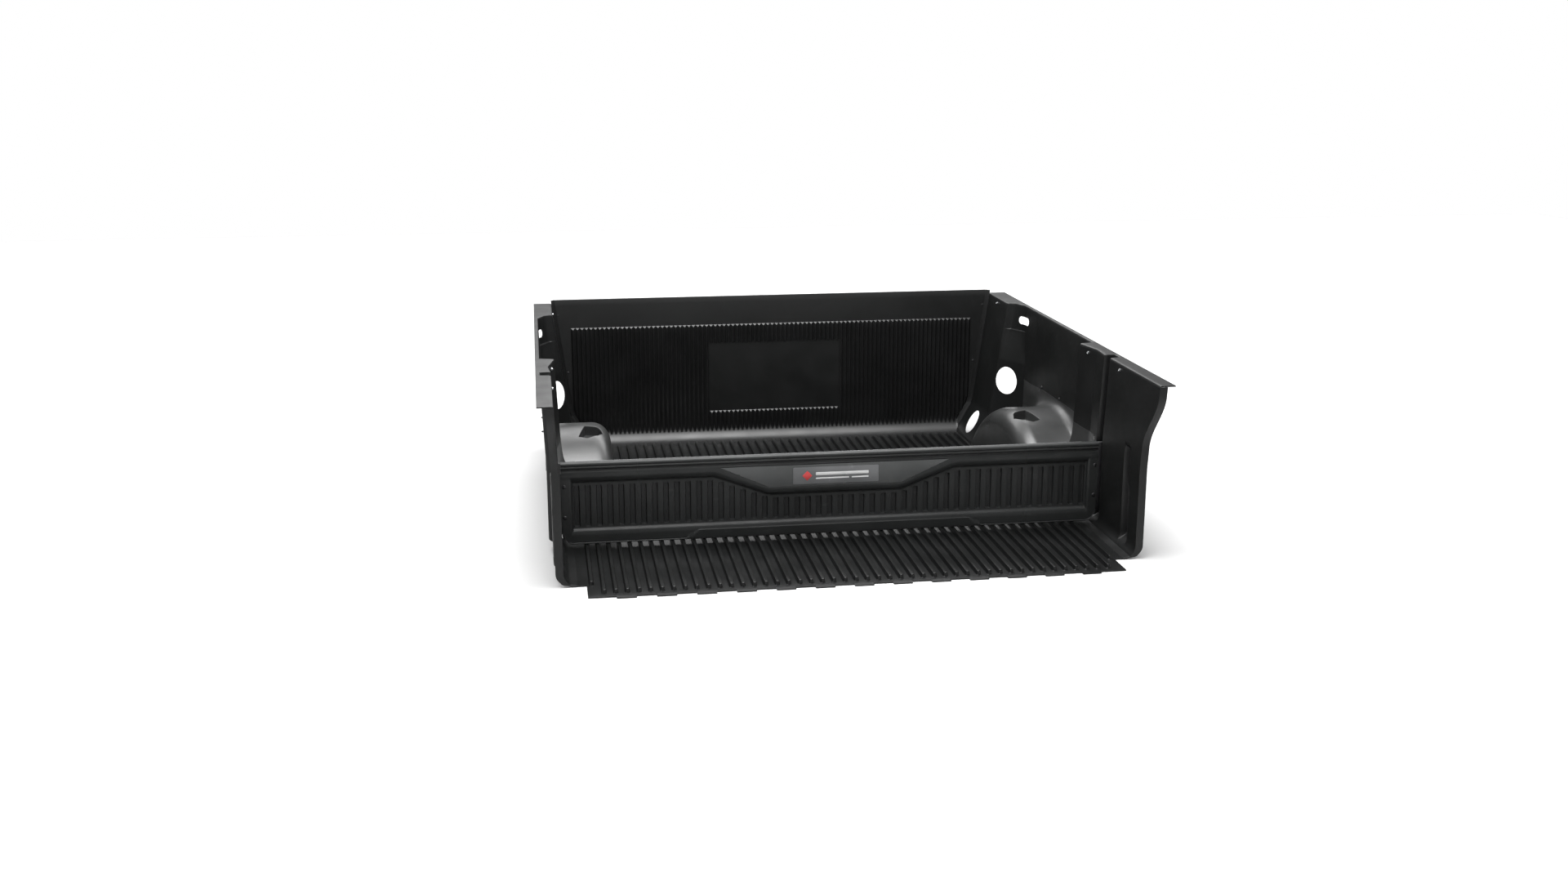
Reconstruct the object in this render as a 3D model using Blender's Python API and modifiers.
"""Truck bed liner, in its separate pieces.

Ribbed floor, ribbed front wall, two side walls, two wheelhouse covers and a lift-out divider panel, with
the rivets, screws and clips that hold them. Metres; +X is the truck's right, +Y is towards the cab, +Z up.
The origin is at the middle of the liner's footprint, on the plane that the floor sheet rests on.
"""

import math

import bmesh
import bpy
from mathutils import Matrix, Vector

for leftover in list(bpy.data.objects):
    bpy.data.objects.remove(leftover, do_unlink=True)

# ---------------------------------------------------------------- driving dimensions
# A "station" is a distance forward of the floor's rear edge, and is called d below.
SHEET = 0.0035              # thickness of the formed sheets
GAP = 0.0003                # clearance between pieces that touch
FLOOR_Z = SHEET             # top of the floor between its ribs
FOOT_Z = 0.0038             # cargo side of a wall's foot
TAB_REACH = 0.012           # how far the rear tabs stand out
WALL_D = 1.697              # cargo side of the front wall
LAP_D = WALL_D + SHEET + GAP
RIVET_TAIL = 0.005
FRONT_MOST = LAP_D + SHEET + RIVET_TAIL
MIDDLE_D = 0.5 * (FRONT_MOST - TAB_REACH)

# floor
RIB_PITCH = 0.032
FULL_RIBS = 46
RIB_FOOT = 0.013
RIB_DRAFT = 0.0015          # how much narrower a rib is at its crest, on each side
RIB_HEIGHT = 0.012
RIB_START = 0.020
RIB_STOP = 1.628
SHORT_RIB_START = 0.095
RIB_END_GAPS = (0.018, 0.014)   # from the wheelhouse covers to the ribs behind and ahead of them
TAB_PITCH = 0.110
TAB_WIDTH = 0.055
TABS_EACH_SIDE = 6
PILLAR_D = 0.100            # rear corners are notched up to here, for the truck's rear pillars
PILLAR_X = 0.765
FLOOR_X = 0.790
FRONT_FLOOR_X = 0.700

# wheelhouse covers
COVER_REAR = 0.4970
COVER_FRONT = 1.3330
COVER_X = 0.645
COVER_FOOT = 0.0048          # height of the foot of a cover's skirt, which stands just over the floor
ARCH_REAR = 0.505
ARCH_FRONT = 1.315
ARCH_TOP = 0.261
ARCH_POWER = 1.85
SKIRT_DRAFT = 0.007         # how far the skirt under the shoulder leans outwards
SHOULDER = 0.060            # radius along the inner top edge
SEAM_Z = 0.2705             # where a cover meets the side wall above it
COVER_LAP = 0.030
LAP_D_RANGE = (0.700, 1.300)    # stations between which a cover laps behind the side wall
POCKET_D = (0.806, 0.914)
POCKET_X = (0.716, 0.762)
POCKET_DEPTH = 0.030
POCKET_DRAFT = 0.002

# front wall
WALL_TOP = 0.548
COVE = WALL_D - 1.6363
FLUTE_PITCH = 0.0164
FLUTES_EACH_SIDE = 46
FLUTE_DEPTH = 0.006
FLUTE_TOP = 0.4415
COVE_STEPS = 6
PANE_FLUTES = 15            # the pane's half width, in flutes
PANE_Z = (0.1135, 0.3725)

# side walls
WALL_X = 0.828
RECESS_X = 0.860
FLANGE_Z = 0.535
FLANGE_X = 0.885
LEAN = 0.012                # how far a wall leans out over its height
CORNER_LOW = (0.765, 0.120)
CORNER_HIGH = (0.817, 0.500)
LAP_WIDTH = 0.035
PILASTER_D = (1.335, 1.450)
PILASTER_STEP = (0.018, 0.004)          # how far its face sets back over the slope, and then at the ledge
PILASTER_SLOPE_Z = (0.320, 0.440)
PILASTER_LEDGE_Z = (0.440, 0.447)
STUB_D = (0.550, 0.660)
STUB_X = (0.835, 0.815)
STUB_RUN = 0.015                        # length of the stub's sloping front end
PANEL_GROOVE = (0.4235, 0.4645)
PANEL_GROOVE_X = 0.862
BOARD_GROOVE = (0.180, 0.225)
BOARD_GROOVE_X = 0.850
BOARD_GROOVE_TOP = 0.300
GROOVE_DRAFT = 0.005
GROOVE_FOOT_Z = 0.040
FOOT_ROUND = ((0.801, 0.006), (0.812, 0.014), (0.820, 0.034))   # the corner between floor and wall
REAR_LIP = 0.022                        # how far the lip along a side wall's rear edge stands out
FLARE_D = 0.012                         # the rear edge's station at its top
FLARE_Z = (0.340, 0.500)                # heights between which it flares rearwards
PILASTER_HOLE = (1.405, 0.257, 0.050)   # station, height, radius
FACET_HOLE = (1.567, 0.067, 0.047)
PILASTER_SLOT = (1.377, 0.480)
SLOT_SIZE = (0.080, 0.028)

# divider panel
PANEL_BAND_D = 0.4345       # rear-facing side of the panel's frame
PANEL_LIP_D = 0.4310
PANEL_FIELD_D = 0.4460
PANEL_SLOT_D = 0.4520
PANEL_PLATE_D = 0.4360
PANEL_BACK_D = 0.4560
PANEL_BOTTOM = 0.0165
PANEL_TOP = 0.2665
PANEL_SEAM_X = 0.596
PANEL_FIELD_X = 0.797
PANEL_END_X = 0.8225
PANEL_CORNER = (0.0225, 0.0295)     # how much is taken off each lower corner, across and up
PANEL_SHEET = 0.003
PANEL_SLOT_PITCH = 0.0331
PANEL_SLOT_WIDTH = 0.0163
PANEL_SLOTS_EACH_SIDE = 24
CONTOUR = ((0.204, 0.1425), (0.368, 0.2045))    # where the slotted field's top drops to the middle
PLATE_HALF = (0.202, 0.350)
PLATE_Z = (0.1675, 0.2335)
BADGE_HALF = 0.131
BADGE_Z = (0.1735, 0.2255)
BADGE_THICK = 0.0015
TOE_BOSS = (0.417, 0.457)
TOE_Z = (0.0205, 0.0460)
JAMB_Z = (0.040, 0.223)             # heights of the solid end of the frame, before it is hollowed
JAMB_HOLLOW_Z = (0.0455, 0.2365)
SLOT_FOOT = 0.0685
SLOT_WALL = 0.002
GUIDE_D = 0.4448            # middle of the end shoes' thickness
GUIDE_THICK = 0.014
GUIDE_OUTLINE = ((0.806, 0.048), (0.8500, 0.048), (0.8550, 0.056), (0.8550, 0.2665), (0.8240, 0.2665),
                 (0.8240, 0.234), (0.806, 0.234))
CHANNEL_DEPTH = 0.012
CHANNEL_Z = (0.2395, 0.2630)
CHANNEL_HALF = 0.780
CHANNEL_SHEET = 0.0015

# hardware
RIVET_HEAD = 0.006
RIVET_SHANK = 0.003
SCREW_HEAD = 0.0055
SCREW_SHANK = 0.0024
HOLE_PLAY = 0.0004
FASTENER_SIDES = 8
RAIL_STATIONS = (0.330, 0.605, 1.570)
RAIL_Z = 0.515
RAIL_SCREW_LENGTH = 0.016
CLIP_SIZE = (0.026, 0.020)
CLIP_THICK = 0.002
COVER_RIVET_STATIONS = (0.750, 0.940, 1.130)
CORNER_RIVET_HEIGHTS = (0.275, 0.490)
PANEL_SCREW_XS = (0.150, 0.500, 0.690)
PANEL_SCREW_LENGTH = 0.009
GUIDE_RIVET_X = 0.814
GUIDE_RIVET_HEIGHTS = (0.100, 0.195)

EPS = 1e-6

parts = bpy.data.collections.new("truck_bed_liner")
cutters = bpy.data.collections.new("cutters")
bpy.context.scene.collection.children.link(parts)
bpy.context.scene.collection.children.link(cutters)


# ---------------------------------------------------------------- helpers
def at(x, d, z):
    """A point from its distance right of the centre line, its station and its height."""
    return Vector((x, d - MIDDLE_D, z))


def mix(a, b, t):
    return a + (b - a) * t


def ramp(value, low, high):
    """0 below low, 1 above high, straight between."""
    return min(1.0, max(0.0, (value - low) / (high - low)))


def polyline(points, x):
    """The height at x of a line through (x, height) points, level beyond its ends."""
    if x <= points[0][0]:
        return points[0][1]
    for (x0, h0), (x1, h1) in zip(points, points[1:]):
        if x <= x1:
            return mix(h0, h1, (x - x0) / (x1 - x0))
    return points[-1][1]


def lines(*groups):
    """Every value of the groups once, in order."""
    values = sorted(value for group in groups for value in group)
    kept = [values[0]]
    for value in values[1:]:
        if value - kept[-1] > EPS:
            kept.append(value)
    return kept


def material(name, colour, roughness, metallic=0.0):
    surface = bpy.data.materials.new(name)
    surface.use_nodes = True
    shader = surface.node_tree.nodes["Principled BSDF"]
    shader.inputs["Base Color"].default_value = (*colour, 1.0)
    shader.inputs["Roughness"].default_value = roughness
    shader.inputs["Metallic"].default_value = metallic
    return surface


def add_part(name, mesh, surface):
    obj = bpy.data.objects.new(name, mesh)
    obj.data.materials.clear()
    obj.data.materials.append(surface)
    parts.objects.link(obj)
    return obj


def solidify(obj, thickness):
    shell = obj.modifiers.new("sheet", "SOLIDIFY")
    shell.thickness = thickness
    shell.offset = -1.0
    shell.use_even_offset = True
    shell.use_quality_normals = True


def sheet(name, rows, columns, place, surface, keep=None, thickness=SHEET, mirrored=False):
    """A formed sheet: a grid whose point (row, column) lies at place(row, column), made thick.

    rows x columns turn anticlockwise as seen from the cargo side, and the thickness goes away from it.
    """
    bm = bmesh.new()
    bmesh.ops.create_grid(bm, x_segments=rows - 1, y_segments=columns - 1, size=1.0)
    index = {}
    for vert in bm.verts:
        row = round((vert.co.x + 1.0) / 2.0 * (rows - 1))
        column = round((vert.co.y + 1.0) / 2.0 * (columns - 1))
        index[vert] = (row, column)
    if keep:
        spare = []
        for face in bm.faces:
            row = min(index[vert][0] for vert in face.verts)
            column = min(index[vert][1] for vert in face.verts)
            if not keep(row, column):
                spare.append(face)
        bmesh.ops.delete(bm, geom=spare, context="FACES")
    for vert in bm.verts:
        vert.co = place(*index[vert])
    if mirrored:
        bmesh.ops.scale(bm, vec=(-1.0, 1.0, 1.0), verts=bm.verts)
        bmesh.ops.reverse_faces(bm, faces=bm.faces)
    mesh = bpy.data.meshes.new(name)
    bm.to_mesh(mesh)
    bm.free()
    obj = add_part(name, mesh, surface)
    solidify(obj, thickness)
    return obj


def outline_mesh(name, outlines, thickness, across="Y"):
    """Flat outlines made thick about their middle.

    across "Y" takes (x, z) points, "Z" takes (x, y) points and "X" takes (y, z) points.
    """
    curve = bpy.data.curves.new(name, "CURVE")
    curve.dimensions = "2D"
    curve.fill_mode = "NONE"
    curve.extrude = thickness / 2.0
    for outline in outlines:
        spline = curve.splines.new("POLY")
        spline.points.add(len(outline) - 1)
        for point, (u, v) in zip(spline.points, outline):
            point.co = (u, v, 0.0, 1.0)
        spline.use_cyclic_u = True
    holder = bpy.data.objects.new(name, curve)
    bpy.context.scene.collection.objects.link(holder)
    graph = bpy.context.evaluated_depsgraph_get()
    mesh = bpy.data.meshes.new_from_object(holder.evaluated_get(graph))
    bpy.data.objects.remove(holder, do_unlink=True)
    bm = bmesh.new()
    bm.from_mesh(mesh)
    bmesh.ops.remove_doubles(bm, verts=bm.verts, dist=0.00001)
    bmesh.ops.edgeloop_fill(bm, edges=[edge for edge in bm.edges if edge.is_boundary])
    if across == "Y":
        bmesh.ops.rotate(bm, verts=bm.verts, matrix=Matrix.Rotation(math.pi / 2.0, 3, "X"))
    if across == "X":
        turn = Matrix.Rotation(math.pi / 2.0, 3, "Z") @ Matrix.Rotation(math.pi / 2.0, 3, "X")
        bmesh.ops.rotate(bm, verts=bm.verts, matrix=turn)
    bmesh.ops.recalc_face_normals(bm, faces=bm.faces)
    bm.to_mesh(mesh)
    bm.free()
    return mesh


def outline_plate(name, outline, thickness, middle_d, surface):
    obj = add_part(name, outline_mesh(name, [outline], thickness), surface)
    obj.location = at(0.0, middle_d, 0.0)
    return obj


def boxes_mesh(name, boxes):
    """Boxes given as (low corner, high corner, draft): draft narrows the top face on every side."""
    bm = bmesh.new()
    for low, high, draft in boxes:
        size = high - low
        made = bmesh.ops.create_cube(bm, size=1.0)["verts"]
        for vert in made:
            top = vert.co.z > 0.0
            shrink = 2.0 * draft if top else 0.0
            vert.co.x *= size.x - shrink
            vert.co.y *= size.y - shrink
            vert.co.z *= size.z
            vert.co += (low + high) / 2.0
    mesh = bpy.data.meshes.new(name)
    bm.to_mesh(mesh)
    bm.free()
    return mesh


def turned_mesh(name, profile, steps):
    """A solid turned about Z from (radius, height) points that run down its outer side."""
    mesh = bpy.data.meshes.new(name)
    mesh.from_pydata([(radius, 0.0, height) for radius, height in profile],
                     [(i, i + 1) for i in range(len(profile) - 1)], [])
    holder = bpy.data.objects.new(name, mesh)
    bpy.context.scene.collection.objects.link(holder)
    screw = holder.modifiers.new("turn", "SCREW")
    screw.steps = steps
    screw.render_steps = steps
    screw.use_merge_vertices = True
    screw.merge_threshold = 0.00001
    graph = bpy.context.evaluated_depsgraph_get()
    solid = bpy.data.meshes.new_from_object(holder.evaluated_get(graph))
    bpy.data.objects.remove(holder, do_unlink=True)
    return solid


def stand(obj, place, axis):
    """Puts obj's origin at place and its +Z along axis."""
    obj.location = place
    obj.rotation_mode = "QUATERNION"
    obj.rotation_quaternion = Vector(axis).to_track_quat("Z", "Y")


def combine(tool, operation, *targets):
    """Joins tool to, or cuts it from, each target, and hides the tool."""
    for collection in list(tool.users_collection):
        collection.objects.unlink(tool)
    cutters.objects.link(tool)
    tool.hide_render = True
    tool.display_type = "WIRE"
    for target in targets:
        step = target.modifiers.new(tool.name, "BOOLEAN")
        step.operation = operation
        step.solver = "EXACT"
        step.object = tool


def tool_object(name, mesh, place=None):
    tool = bpy.data.objects.new(name, mesh)
    cutters.objects.link(tool)
    if place:
        tool.location = place
    return tool


def drill(name, place, axis, radius, depth, sides, *targets):
    """A round hole centred on place, running depth along axis."""
    bpy.ops.mesh.primitive_cylinder_add(vertices=sides, radius=radius, depth=depth)
    cutter = bpy.context.object
    cutter.name = name
    stand(cutter, place, axis)
    combine(cutter, "DIFFERENCE", *targets)


# ---------------------------------------------------------------- materials
liner_black = material("liner_black", (0.020, 0.021, 0.022), 0.42)
wall_black = material("wall_black", (0.017, 0.018, 0.019), 0.46)
side_black = material("side_black", (0.022, 0.023, 0.024), 0.40)
cover_black = material("cover_black", (0.026, 0.027, 0.028), 0.36)
panel_black = material("panel_black", (0.015, 0.016, 0.017), 0.38)
plate_grey = material("plate_grey", (0.034, 0.036, 0.038), 0.50)
badge_grey = material("badge_grey", (0.055, 0.056, 0.058), 0.45)
guide_black = material("guide_black", (0.012, 0.012, 0.013), 0.50)
rivet_black = material("rivet_black", (0.014, 0.014, 0.015), 0.50)
zinc = material("zinc", (0.60, 0.61, 0.62), 0.35, 1.0)
steel = material("steel", (0.42, 0.43, 0.44), 0.40, 1.0)


# ---------------------------------------------------------------- floor
def rib_centres():
    centres = [(k + 0.5) * RIB_PITCH for k in range(-FULL_RIBS // 2, FULL_RIBS // 2)]
    outer = (FULL_RIBS // 2 + 0.5) * RIB_PITCH
    return [-outer] + centres + [outer]


def rib_spans(centre):
    """The stretches (start, stop) of one rib, which stops at the wheelhouses and the pillar notch."""
    reach = abs(centre) + RIB_FOOT / 2.0
    if reach < COVER_X:
        return [(RIB_START, RIB_STOP)]
    start = SHORT_RIB_START if abs(centre) > FULL_RIBS / 2 * RIB_PITCH else RIB_START
    spans = [(start, COVER_REAR - RIB_END_GAPS[0])]
    if reach < FRONT_FLOOR_X:
        spans.append((COVER_FRONT + RIB_END_GAPS[1], RIB_STOP))
    return spans


def floor_half_width(d):
    if d < PILLAR_D:
        return PILLAR_X - GAP
    if d < COVER_REAR - GAP:
        return FLOOR_X - GAP
    if d < COVER_FRONT + GAP:
        return COVER_X - GAP
    return FRONT_FLOOR_X - GAP


def floor_outline():
    """The half widths ahead from the rear edge, and their mirror."""
    stops = [0.0, PILLAR_D, COVER_REAR - GAP, COVER_FRONT + GAP, WALL_D - COVE - GAP]
    right = []
    for start, stop in zip(stops, stops[1:]):
        half = floor_half_width(0.5 * (start + stop))
        right += [(half, start - MIDDLE_D), (half, stop - MIDDLE_D)]
    return right + [(-x, y) for x, y in reversed(right)]


def make_floor():
    pan = add_part("floor_pan", outline_mesh("floor_pan", [floor_outline()], SHEET, "Z"), liner_black)
    pan.location.z = FLOOR_Z - SHEET / 2.0
    tabs = []
    for k in range(-TABS_EACH_SIDE, TABS_EACH_SIDE + 1):
        middle = k * TAB_PITCH
        tabs.append((at(middle - TAB_WIDTH / 2.0, -TAB_REACH, 0.0005),
                     at(middle + TAB_WIDTH / 2.0, 0.005, FLOOR_Z - 0.0005), 0.0))
    ribs = []
    hollows = []
    for centre in rib_centres():
        for start, stop in rib_spans(centre):
            low = at(centre - RIB_FOOT / 2.0, start, FLOOR_Z - 0.002)
            high = at(centre + RIB_FOOT / 2.0, stop, FLOOR_Z + RIB_HEIGHT)
            ribs.append((low, high, RIB_DRAFT))
            wall = Vector((SHEET, SHEET, 0.0))
            hollow_low = low + wall
            hollow_high = high - wall
            hollow_low.z = -0.002
            hollow_high.z -= SHEET
            hollows.append((hollow_low, hollow_high, RIB_DRAFT))
    combine(tool_object("floor_tabs", boxes_mesh("floor_tabs", tabs)), "UNION", pan)
    combine(tool_object("floor_ribs", boxes_mesh("floor_ribs", ribs)), "UNION", pan)
    combine(tool_object("floor_rib_hollows", boxes_mesh("floor_rib_hollows", hollows)), "DIFFERENCE", pan)
    return pan


# ---------------------------------------------------------------- front wall
def corner_x(z):
    """Half the width between the side walls' front stretches: a chamfer below, a slight lean above."""
    if z < CORNER_LOW[1]:
        return mix(FRONT_FLOOR_X, CORNER_LOW[0], ramp(z, FOOT_Z, CORNER_LOW[1]))
    slope = (CORNER_HIGH[0] - CORNER_LOW[0]) / (CORNER_HIGH[1] - CORNER_LOW[1])
    return CORNER_LOW[0] + slope * (z - CORNER_LOW[1])


def make_front_wall():
    """A sheet with a rolled foot, and a block of upright V flutes that dies into the roll."""
    arc = [math.pi / 2.0 * k / COVE_STEPS for k in range(COVE_STEPS + 1)]
    cargo_side = [(WALL_D - COVE * (1.0 - math.sin(a)), FLOOR_Z + COVE * (1.0 - math.cos(a))) for a in arc]
    cab_side = [(d + SHEET * math.sin(a), z - SHEET * math.cos(a)) for (d, z), a in zip(cargo_side, arc)]
    section = cargo_side + [(WALL_D, WALL_TOP), (WALL_D + SHEET, WALL_TOP)] + cab_side[::-1]
    section = [(d - MIDDLE_D, z) for d, z in section]
    wall = add_part("front_wall", outline_mesh("front_wall", [section], 2.0 * FLANGE_X, "X"), wall_black)

    flute_foot = math.asin(1.0 - FLUTE_DEPTH / COVE)
    foot_z = FLOOR_Z + COVE * (1.0 - math.cos(flute_foot))
    half = FLUTES_EACH_SIDE * FLUTE_PITCH
    comb = []
    valley = WALL_D - 0.0004
    for k in range(-FLUTES_EACH_SIDE, FLUTES_EACH_SIDE):
        comb += [(k * FLUTE_PITCH, valley), ((k + 0.5) * FLUTE_PITCH, WALL_D - FLUTE_DEPTH)]
    comb += [(half, valley), (half, WALL_D + 0.5 * SHEET), (-half, WALL_D + 0.5 * SHEET)]
    comb = [(x, d - MIDDLE_D) for x, d in comb]
    low_z = foot_z - 0.001
    flutes = tool_object("front_flutes", outline_mesh("front_flutes", [comb], FLUTE_TOP - low_z, "Z"))
    flutes.location.z = 0.5 * (FLUTE_TOP + low_z)
    pane = PANE_FLUTES * FLUTE_PITCH
    pane_box = (at(-pane, WALL_D - 2.0 * FLUTE_DEPTH, PANE_Z[0]),
                at(pane, WALL_D + 0.0005, PANE_Z[1]), 0.0)
    combine(tool_object("pane_cutter", boxes_mesh("pane_cutter", [pane_box])), "DIFFERENCE", flutes)
    combine(flutes, "UNION", wall)
    trim_to_corners(wall)
    return wall


def trim_to_corners(wall):
    """Cuts the front wall's side edges to the slope of the side walls' inner faces."""
    for tag, side in (("left", -1), ("right", 1)):
        heights = (-0.010, FOOT_Z, CORNER_LOW[1], WALL_TOP + 0.010)
        inner = [(side * (corner_x(max(z, FOOT_Z)) - GAP), z) for z in heights]
        outer = [(side * (FLANGE_X + 0.010), heights[-1]), (side * (FLANGE_X + 0.010), heights[0])]
        cutter_mesh = outline_mesh("edge", [inner + outer], 0.300)
        edge = tool_object("edge_cutter_" + tag, cutter_mesh, at(0.0, WALL_D, 0.0))
        combine(edge, "DIFFERENCE", wall)


# ---------------------------------------------------------------- side walls
def upper_x(d, z):
    """The side wall's distance from the centre line, above the wheelhouse seam."""
    lean = LEAN * (z - SEAM_Z) / (FLANGE_Z - SEAM_Z)
    if d >= PILASTER_D[1]:
        return corner_x(z)
    if d >= PILASTER_D[0]:
        t = (d - PILASTER_D[0]) / (PILASTER_D[1] - PILASTER_D[0])
        set_back = PILASTER_STEP[0] * ramp(z, *PILASTER_SLOPE_Z)
        set_back += PILASTER_STEP[1] * ramp(z, *PILASTER_LEDGE_Z)
        inside = min(1.0, 12.0 * (1.0 - t))
        return min(mix(RECESS_X + lean, corner_x(z), t) + set_back * inside, RECESS_X + lean)
    if d >= STUB_D[1]:
        return mix(STUB_X[1], RECESS_X, ramp(d, STUB_D[1], STUB_D[1] + STUB_RUN)) + lean
    if d >= STUB_D[0]:
        return mix(STUB_X[0], STUB_X[1], ramp(d, *STUB_D)) + lean
    return rear_x(d, z) + lean


def rear_x(d, z):
    """The same behind the wheelhouse, with the panel's groove and the rear board groove."""
    into = min(ramp(d, PANEL_GROOVE[0] - GROOVE_DRAFT, PANEL_GROOVE[0]),
               1.0 - ramp(d, PANEL_GROOVE[1], PANEL_GROOVE[1] + GROOVE_DRAFT))
    board = min(ramp(d, BOARD_GROOVE[0] - GROOVE_DRAFT, BOARD_GROOVE[0]),
                1.0 - ramp(d, BOARD_GROOVE[1], BOARD_GROOVE[1] + GROOVE_DRAFT))
    board *= 1.0 - ramp(z, BOARD_GROOVE_TOP, BOARD_GROOVE_TOP + 0.020)
    plain = mix(WALL_X, STUB_X[0], ramp(d, PANEL_GROOVE[1], STUB_D[0]))
    return plain + (PANEL_GROOVE_X - plain) * into + (BOARD_GROOVE_X - plain) * board


def lower_section(d):
    """(x, z) points from the floor up to the wheelhouse seam, behind or ahead of the wheelhouse."""
    if d < COVER_REAR + EPS:
        low = [(FLOOR_X, FOOT_Z), *FOOT_ROUND]
        return low + [(rear_x(d, z), z) for z in (GROOVE_FOOT_Z, 0.120, 0.200, SEAM_Z)]
    low = [(corner_x(z), z) for z in (FOOT_Z, 0.035, 0.065, 0.095, CORNER_LOW[1])]
    return low + [(upper_x(d, z), z) for z in (0.136, 0.200, SEAM_Z)]


UPPER_ZS = (BOARD_GROOVE_TOP, *PILASTER_SLOPE_Z, PILASTER_LEDGE_Z[1], FLANGE_Z)


def rear_end(z):
    """The station of a side wall's rear edge, which flares rearwards towards the top."""
    return mix(PILLAR_D, FLARE_D, ramp(z, *FLARE_Z))


def groove_lines(groove):
    """The stations of a groove's two edges and of the feet of its drafted sides."""
    return [groove[0] - GROOVE_DRAFT, groove[0], groove[1], groove[1] + GROOVE_DRAFT]


def make_side_wall(name, mirrored):
    ds = lines([PILLAR_D + 0.030], [COVER_REAR - GAP], [COVER_FRONT + GAP], [LAP_D],
               groove_lines(BOARD_GROOVE), groove_lines(PANEL_GROOVE), [*STUB_D, STUB_D[1] + STUB_RUN],
               [PILASTER_D[0], PILASTER_D[0] + 0.010, PILASTER_D[1] - 0.010, PILASTER_D[1]])
    seam_row = 7
    flange_row = seam_row + len(UPPER_ZS)
    rows = flange_row + 2
    columns = len(ds) + 3

    def section_point(d, row):
        if row <= seam_row:
            x, z = lower_section(d)[row]
            if row == seam_row:
                z += GAP
            return x, z
        if row <= flange_row:
            z = UPPER_ZS[row - seam_row - 1]
            return upper_x(d, z), z
        return FLANGE_X, FLANGE_Z

    def place(row, column):
        if column < 2:
            x, z = section_point(ds[0], row)
            end = rear_end(z)
            return at(x + (REAR_LIP if column == 0 else 0.0), end, z)
        if column == columns - 1:
            x, z = section_point(LAP_D, row)
            return at(x - LAP_WIDTH, LAP_D, z)
        x, z = section_point(ds[column - 2], row)
        return at(x, ds[column - 2], z)

    def keep(row, column):
        if row == flange_row and column == columns - 2:
            return False
        if row >= flange_row - 1 and column == 0:
            return False
        if row >= seam_row or column < 2 or column >= columns - 2:
            return True
        middle = 0.5 * (ds[column - 2] + ds[column - 1])
        return not COVER_REAR - 2 * GAP < middle < COVER_FRONT + 2 * GAP

    return sheet(name, rows, columns, place, side_black, keep, mirrored=mirrored)


def obround(length, height, points=8):
    """The outline of a slot with round ends, about its middle."""
    radius = height / 2.0
    reach = length / 2.0 - radius
    outline = []
    for side in (1, -1):
        for k in range(points + 1):
            angle = math.pi * (k / points - 0.5)
            outline.append((side * (reach + radius * math.cos(angle)), side * radius * math.sin(angle)))
    return outline


def wall_frame(d, z, side):
    """A side wall's surface point, and its normal away from the cargo."""
    step = 0.002
    along = Vector((upper_x(d + step, z) - upper_x(d - step, z), 2.0 * step, 0.0))
    up = Vector((upper_x(d, z + step) - upper_x(d, z - step), 0.0, 2.0 * step))
    outward = along.cross(up).normalized()
    outward.x *= side
    return at(side * upper_x(d, z), d, z), outward


def cut_side_holes(wall, side, tag):
    """The round hole and oblong slot in the pilaster, and the round hole in the low front facet."""
    d, z, radius = PILASTER_HOLE
    place, outward = wall_frame(d, z, side)
    drill("pilaster_hole_cutter_" + tag, place, outward, radius, 0.060, 32, wall)
    d, z, radius = FACET_HOLE
    rise = CORNER_LOW[1] - FOOT_Z
    run = CORNER_LOW[0] - FRONT_FLOOR_X
    facet = at(side * corner_x(z), d, z)
    drill("facet_hole_cutter_" + tag, facet, (side * rise, 0.0, -run), radius, 0.030, 32, wall)
    place, outward = wall_frame(*PILASTER_SLOT, side)
    slot = tool_object("slot_cutter_" + tag, outline_mesh("slot", [obround(*SLOT_SIZE)], 0.060), place)
    slot.rotation_euler.z = math.atan2(-outward.x, outward.y)
    combine(slot, "DIFFERENCE", wall)


# ---------------------------------------------------------------- wheelhouse covers
def arch(d):
    """The height of the wheelhouse cover's top at a station."""
    u = abs(2.0 * d - ARCH_REAR - ARCH_FRONT) / (ARCH_FRONT - ARCH_REAR)
    if u >= 1.0:
        return 0.0
    return ARCH_TOP * (1.0 - u ** ARCH_POWER) ** (1.0 / ARCH_POWER)


def cover_end_section(d):
    """The collar at each end of a cover: a strip on the floor, then the side wall's own section."""
    wall = lower_section(d)
    strip = [(mix(COVER_X, wall[0][0], k / 4.0), FOOT_Z) for k in range(4)]
    seam_x = wall[-1][0]
    edge = [(seam_x, SEAM_Z - 0.0045), (seam_x, SEAM_Z), (seam_x, SEAM_Z + COVER_LAP)]
    return strip + wall[:-1] + edge


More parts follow.
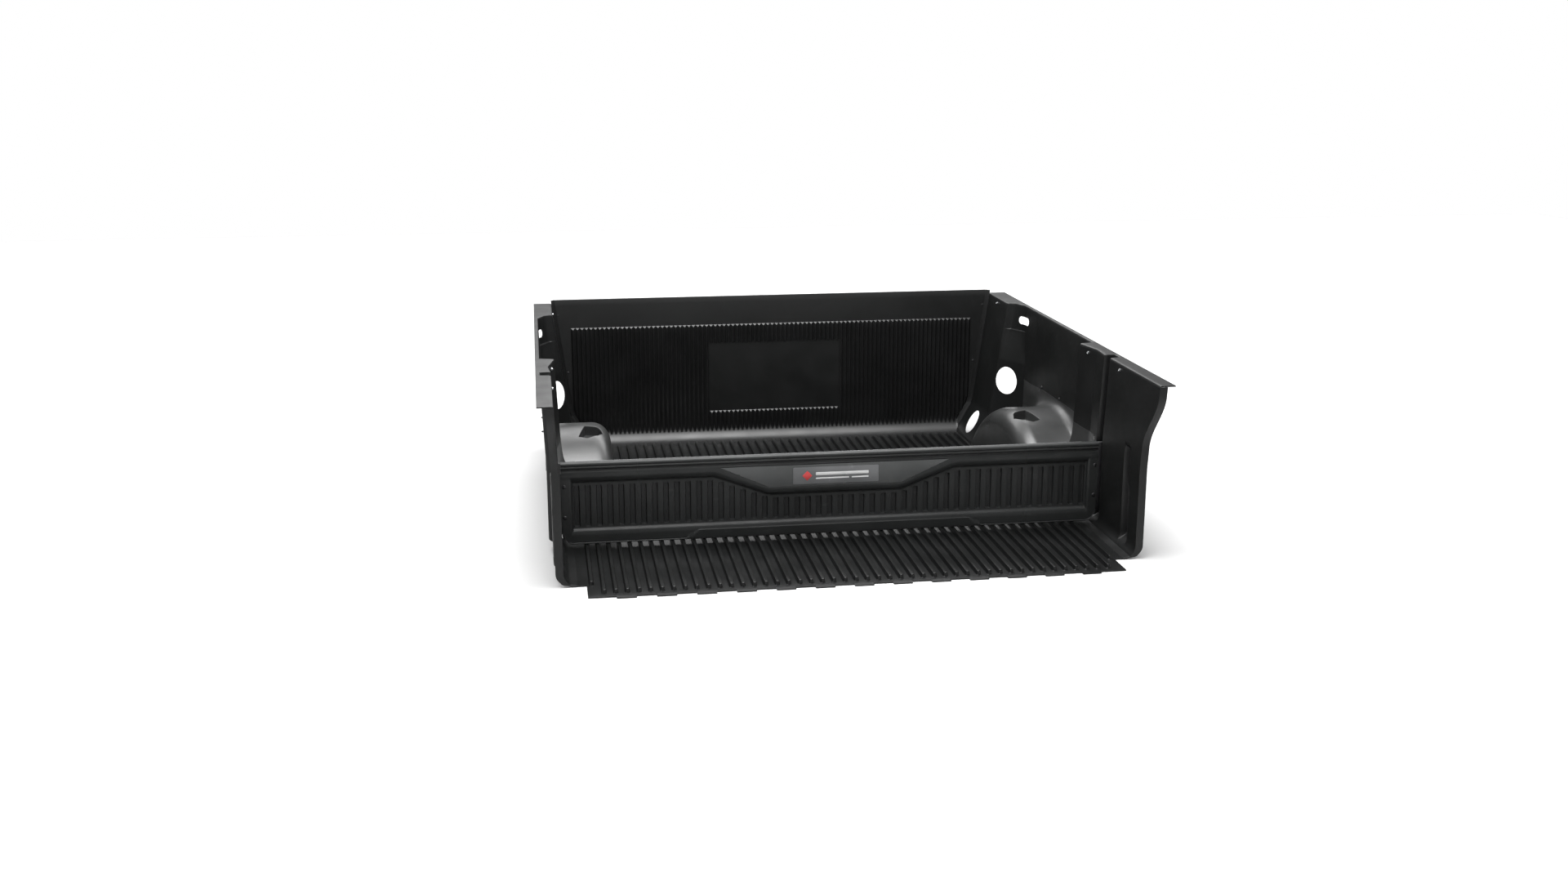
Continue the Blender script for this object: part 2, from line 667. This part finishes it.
def cover_section(d):
    """(x, z) points from the foot, over the shoulder and the pocket, to the lap behind the side wall."""
    height = arch(d)
    radius = min(SHOULDER, 0.85 * (height - COVER_FOOT))
    points = [(COVER_X, COVER_FOOT), (COVER_X + 0.004, mix(COVER_FOOT, height - radius, 0.6))]
    for k in range(5):
        angle = math.pi / 2.0 * k / 4.0
        points.append((COVER_X + SKIRT_DRAFT + radius * (1.0 - math.cos(angle)),
                       height - radius + radius * math.sin(angle)))
    pocket = POCKET_D[0] + EPS < d < POCKET_D[1] - EPS
    floor = height - (POCKET_DEPTH if pocket else 0.0)
    points += [(POCKET_X[0], height), (POCKET_X[0] + POCKET_DRAFT, floor),
               (POCKET_X[1] - POCKET_DRAFT, floor), (POCKET_X[1], height)]
    outer = upper_x(d, SEAM_Z)
    lap = SHEET + 2.0 * GAP
    points += [(outer, SEAM_Z - 0.0045)]
    if lapped(d):
        points += [(outer + lap, SEAM_Z - 0.0005),
                   (upper_x(d, SEAM_Z + COVER_LAP) + lap, SEAM_Z + COVER_LAP)]
    else:
        points += [(outer, SEAM_Z), (outer, SEAM_Z + COVER_LAP)]
    return points


def lapped(d):
    return LAP_D_RANGE[0] - EPS < d < LAP_D_RANGE[1] + EPS


def make_cover(name, mirrored):
    middle = 0.5 * (ARCH_REAR + ARCH_FRONT)
    reach = 0.5 * (ARCH_FRONT - ARCH_REAR)
    arcs = [middle + reach * math.cos(math.radians(angle)) for angle in range(8, 173, 15)]
    pocket = [POCKET_D[0], POCKET_D[0] + POCKET_DRAFT, POCKET_D[1] - POCKET_DRAFT, POCKET_D[1]]
    collars = [COVER_REAR, COVER_REAR + 0.003, COVER_FRONT - 0.003, COVER_FRONT]
    lap_ends = [LAP_D_RANGE[0] - 0.004, LAP_D_RANGE[0], LAP_D_RANGE[1], LAP_D_RANGE[1] + 0.004]
    ds = lines(arcs, pocket, collars, lap_ends, [STUB_D[0], STUB_D[1], STUB_D[1] + STUB_RUN])
    rows = len(cover_section(middle))

    def place(row, column):
        d = ds[column]
        if is_collar(d):
            section = cover_end_section(min(max(d, COVER_REAR), COVER_FRONT))
        else:
            section = cover_section(d)
        x, z = section[row]
        return at(x, d, z)

    def is_collar(d):
        return d < COVER_REAR + 0.004 or d > COVER_FRONT - 0.004

    def keep(row, column):
        if row < rows - 2:
            return True
        return lapped(ds[column]) and lapped(ds[column + 1])

    return sheet(name, rows, len(ds), place, cover_black, keep, mirrored=mirrored)


# ---------------------------------------------------------------- divider panel
def frame_section():
    """(station, height) points round the panel's sheet: up its rear-facing side, and back down inside."""
    t = PANEL_SHEET
    band, lip, back = PANEL_BAND_D, PANEL_LIP_D, PANEL_BACK_D
    groove = band + 0.004
    field = PANEL_FIELD_D
    outside = [(back, 0.045), (back, PANEL_BOTTOM), (band + 0.003, PANEL_BOTTOM), (band, 0.020),
               (band, 0.0415), (band + 0.003, 0.052), (field, 0.0635), (field, 0.2045),
               (band + 0.003, 0.2125), (band, 0.2225), (band, 0.237), (groove, 0.2405),
               (groove, 0.2465), (lip, 0.250), (lip, 0.2635), (lip + 0.003, PANEL_TOP),
               (back, PANEL_TOP), (back, 0.238)]
    inside = [(back - t, 0.238), (back - t, PANEL_TOP - t), (lip + t, PANEL_TOP - t),
              (lip + t, 0.2505), (groove + t, 0.2475), (groove + t, 0.2395), (band + t, 0.236),
              (band + t, 0.2235), (band + 0.003 + t, 0.2145), (field + t, 0.2070),
              (field + t, 0.0610), (band + 0.003 + t, 0.050), (band + t, 0.0405),
              (band + t, PANEL_BOTTOM + t), (back - t, PANEL_BOTTOM + t), (back - t, 0.045)]
    return [(d - MIDDLE_D, z) for d, z in outside + inside]


def slot_top(x):
    """Top of a slot, which follows the lower middle of the field."""
    return polyline(CONTOUR, abs(x)) - 0.0115


def slot_boxes(low, high, grow, front, back):
    """Boxes for the slots between low and high, grown by grow on each side."""
    boxes = []
    for k in range(-PANEL_SLOTS_EACH_SIDE, PANEL_SLOTS_EACH_SIDE):
        x = (k + 0.5) * PANEL_SLOT_PITCH
        half = PANEL_SLOT_WIDTH / 2.0 + grow
        if low < x < high:
            boxes.append((at(x - half, front, SLOT_FOOT - grow), at(x + half, back, slot_top(x) + grow), 0.0))
    return boxes


def trapezoid(half_low, half_high, z_low, z_high):
    return [(-half_low, z_low), (half_low, z_low), (half_high, z_high), (-half_high, z_high)]


def side_box(side, x_in, x_out, d_low, d_high, z_low, z_high):
    """A box between two distances from the centre line, on one side of it."""
    xs = sorted((side * x_in, side * x_out))
    return at(xs[0], d_low, z_low), at(xs[1], d_high, z_high), 0.0


def make_panel_section(name, low, high):
    section = add_part(name, outline_mesh(name, [frame_section()], high - low, "X"), panel_black)
    section.location.x = 0.5 * (low + high)
    tools = []
    if low < 0.0 < high:
        filler = trapezoid(CONTOUR[0][0], CONTOUR[1][0] + 0.030, CONTOUR[0][1], CONTOUR[1][1] + 0.012)
        thick = PANEL_FIELD_D + 0.001 - PANEL_BAND_D
        tools.append(("filler", "UNION", outline_mesh("filler", [filler], thick), PANEL_BAND_D + thick / 2.0))
        toe = trapezoid(TOE_BOSS[1], TOE_BOSS[0], *TOE_Z)
        tools.append(("toe", "UNION", outline_mesh("toe", [toe], 0.007), PANEL_BAND_D + 0.0005))
        seat = trapezoid(PLATE_HALF[0] + GAP, PLATE_HALF[1] + 3.0 * GAP, PLATE_Z[0] - GAP, PLATE_Z[1] + GAP)
        tools.append(("seat", "DIFFERENCE", outline_mesh("seat", [seat], 0.010), PANEL_PLATE_D - 0.005))
    else:
        side = 1.0 if low > 0.0 else -1.0
        jamb = side_box(side, PANEL_FIELD_X, PANEL_END_X, PANEL_BAND_D + 0.0001,
                        PANEL_FIELD_D + 0.001, *JAMB_Z)
        hollow = side_box(side, PANEL_FIELD_X + PANEL_SHEET, PANEL_END_X + 0.005,
                          PANEL_BAND_D + PANEL_SHEET, PANEL_BACK_D - PANEL_SHEET, *JAMB_HOLLOW_Z)
        tools.append(("jamb", "UNION", boxes_mesh("jamb", [jamb]), None))
        tools.append(("jamb_hollow", "DIFFERENCE", boxes_mesh("jamb_hollow", [hollow]), None))
        run, rise = PANEL_CORNER
        corner = [(side * (PANEL_END_X - 2.0 * run), PANEL_BOTTOM - rise),
                  (side * (PANEL_END_X + run), PANEL_BOTTOM - rise),
                  (side * (PANEL_END_X + run), PANEL_BOTTOM + 2.0 * rise)]
        tools.append(("corner", "DIFFERENCE", outline_mesh("corner", [corner], 0.060), PANEL_BAND_D))
    pockets = slot_boxes(low, high, SLOT_WALL, PANEL_FIELD_D + 0.001, PANEL_SLOT_D + SLOT_WALL)
    slots = slot_boxes(low, high, 0.0, PANEL_BAND_D - 0.010, PANEL_SLOT_D)
    tools.append(("pockets", "UNION", boxes_mesh("pockets", pockets), None))
    tools.append(("slots", "DIFFERENCE", boxes_mesh("slots", slots), None))
    for title, operation, mesh, middle_d in tools:
        place = at(0.0, middle_d, 0.0) if middle_d else None
        combine(tool_object(name + "_" + title, mesh, place), operation, section)
    return section


def make_panel_trim():
    """The flush trapezoid plate with its badge, and the two end shoes."""
    plate_thick = PANEL_PLATE_D - PANEL_BAND_D - GAP
    plate = [(-PLATE_HALF[0], PLATE_Z[0]), (PLATE_HALF[0], PLATE_Z[0]),
             (PLATE_HALF[1], PLATE_Z[1]), (-PLATE_HALF[1], PLATE_Z[1])]
    outline_plate("panel_plate", plate, plate_thick, PANEL_BAND_D + plate_thick / 2.0, plate_grey)
    badge = [(-BADGE_HALF, BADGE_Z[0]), (BADGE_HALF, BADGE_Z[0]), (BADGE_HALF, BADGE_Z[1]),
             (-BADGE_HALF, BADGE_Z[1])]
    outline_plate("panel_badge", badge, BADGE_THICK, PANEL_BAND_D - GAP - BADGE_THICK / 2.0, badge_grey)
    for tag, side in (("left", -1), ("right", 1)):
        outline = [(side * x, z) for x, z in GUIDE_OUTLINE]
        shoe = outline_plate("panel_guide_" + tag, outline, GUIDE_THICK, GUIDE_D, guide_black)
        for height in GUIDE_RIVET_HEIGHTS:
            place = at(side * GUIDE_RIVET_X, PANEL_BAND_D, height)
            level = "low" if height == GUIDE_RIVET_HEIGHTS[0] else "high"
            through = PANEL_SHEET + GUIDE_THICK + 2.0 * GAP
            rivet("guide_rivet_%s_%s" % (tag, level), place, (0, -1, 0), through,
                  bpy.data.objects["panel_end_" + tag], shoe)


def make_stiffener():
    """The channel along the panel's back, open forwards, and its screws."""
    back = PANEL_BACK_D + GAP
    section = [(back + CHANNEL_DEPTH, CHANNEL_Z[0]), (back, CHANNEL_Z[0]), (back, CHANNEL_Z[1]),
               (back + CHANNEL_DEPTH, CHANNEL_Z[1])]
    half = CHANNEL_HALF

    def place(column, row):
        d, z = section[row]
        return at(-half if column == 0 else half, d, z)

    channel = sheet("panel_stiffener", 2, len(section), place, zinc, thickness=CHANNEL_SHEET)
    height = 0.5 * (CHANNEL_Z[0] + CHANNEL_Z[1])
    for tag, side in (("left", -1), ("right", 1)):
        for number, x in enumerate(PANEL_SCREW_XS, 1):
            section_name = "panel_center" if x < PANEL_SEAM_X else "panel_end_" + tag
            place_on = at(side * x, back + CHANNEL_SHEET, height)
            screw("panel_screw_%s_%d" % (tag, number), place_on, (0, 1, 0), PANEL_SCREW_LENGTH,
                  channel, bpy.data.objects[section_name])


# ---------------------------------------------------------------- hardware
meshes = {}


def rivet(name, seat, axis, through, *holed):
    """A push rivet whose head lies on seat, facing along axis, through the pieces in holed."""
    key = "rivet_%d" % round(through * 1e5)
    if key not in meshes:
        end = -(through + RIVET_TAIL)
        profile = [(0.0, 0.0024), (0.6 * RIVET_HEAD, 0.0020), (RIVET_HEAD, 0.0008),
                   (RIVET_HEAD, GAP), (RIVET_SHANK, GAP), (RIVET_SHANK, end + 0.003),
                   (0.4 * RIVET_SHANK, end), (0.0, end)]
        meshes[key] = turned_mesh(key, profile, FASTENER_SIDES)
    place_fastener(name, meshes[key], rivet_black, seat, axis)
    drill("hole_" + name, seat, axis, RIVET_SHANK + HOLE_PLAY, 2.2 * through, FASTENER_SIDES, *holed)


def screw(name, seat, axis, length, *holed):
    """A washer-head screw whose head lies on seat, facing along axis, through the pieces in holed."""
    key = "screw_%d" % round(length * 1e5)
    if key not in meshes:
        profile = [(0.0, 0.0040), (0.5 * SCREW_HEAD, 0.0038), (0.62 * SCREW_HEAD, 0.0030),
                   (0.66 * SCREW_HEAD, 0.0014), (SCREW_HEAD, 0.0011), (SCREW_HEAD, GAP),
                   (SCREW_SHANK, GAP), (SCREW_SHANK, 0.003 - length), (0.0, -length)]
        meshes[key] = turned_mesh(key, profile, FASTENER_SIDES)
    place_fastener(name, meshes[key], steel, seat, axis)
    drill("hole_" + name, seat, axis, SCREW_SHANK + HOLE_PLAY, 2.0 * length, FASTENER_SIDES, *holed)


def place_fastener(name, mesh, surface, seat, axis):
    obj = add_part(name, mesh, surface)
    mesh.set_sharp_from_angle(angle=math.radians(35))
    stand(obj, seat, axis)


def make_rail_hardware(wall, side, tag):
    """Screws near a side wall's top edge, each through an anchor clip on the outer side."""
    for number, d in enumerate(RAIL_STATIONS, 1):
        seat, outward = wall_frame(d, RAIL_Z, side)
        clip = add_part("rail_clip_%s_%d" % (tag, number), clip_mesh(), zinc)
        clip.location = seat + outward * (SHEET + 2.0 * GAP + CLIP_THICK / 2.0)
        clip.rotation_mode = "QUATERNION"
        clip.rotation_quaternion = outward.to_track_quat("Y", "Z")
        screw("rail_screw_%s_%d" % (tag, number), seat, -outward, RAIL_SCREW_LENGTH, wall, clip)


def clip_mesh():
    if "clip" not in meshes:
        half = CLIP_SIZE[0] / 2.0
        rise = CLIP_SIZE[1] / 2.0
        cut = 0.25 * CLIP_SIZE[1]
        outline = [(-half, -rise + cut), (-half + cut, -rise), (half - cut, -rise), (half, -rise + cut),
                   (half, rise), (-half, rise)]
        meshes["clip"] = outline_mesh("clip", [outline], CLIP_THICK)
    return meshes["clip"]


# ---------------------------------------------------------------- build
floor_pan = make_floor()
front_wall = make_front_wall()
make_panel_section("panel_end_left", -PANEL_END_X, -PANEL_SEAM_X - GAP / 2.0)
make_panel_section("panel_center", -PANEL_SEAM_X + GAP / 2.0, PANEL_SEAM_X - GAP / 2.0)
make_panel_section("panel_end_right", PANEL_SEAM_X + GAP / 2.0, PANEL_END_X)
make_panel_trim()
make_stiffener()
for tag, side in (("left", -1), ("right", 1)):
    wall = make_side_wall("side_wall_" + tag, side < 0)
    cover = make_cover("wheelhouse_cover_" + tag, side < 0)
    cut_side_holes(wall, side, tag)
    make_rail_hardware(wall, side, tag)
    for number, d in enumerate(COVER_RIVET_STATIONS, 1):
        seat, outward = wall_frame(d, SEAM_Z + 0.6 * COVER_LAP, side)
        rivet("cover_rivet_%s_%d" % (tag, number), seat, -outward, 2.0 * SHEET + 2.0 * GAP, wall, cover)
    for level, z in zip(("low", "high"), CORNER_RIVET_HEIGHTS):
        seat = at(side * (corner_x(z) - 0.5 * LAP_WIDTH), WALL_D, z)
        rivet("corner_rivet_%s_%s" % (tag, level), seat, (0, -1, 0), 2.0 * SHEET + GAP, wall, front_wall)
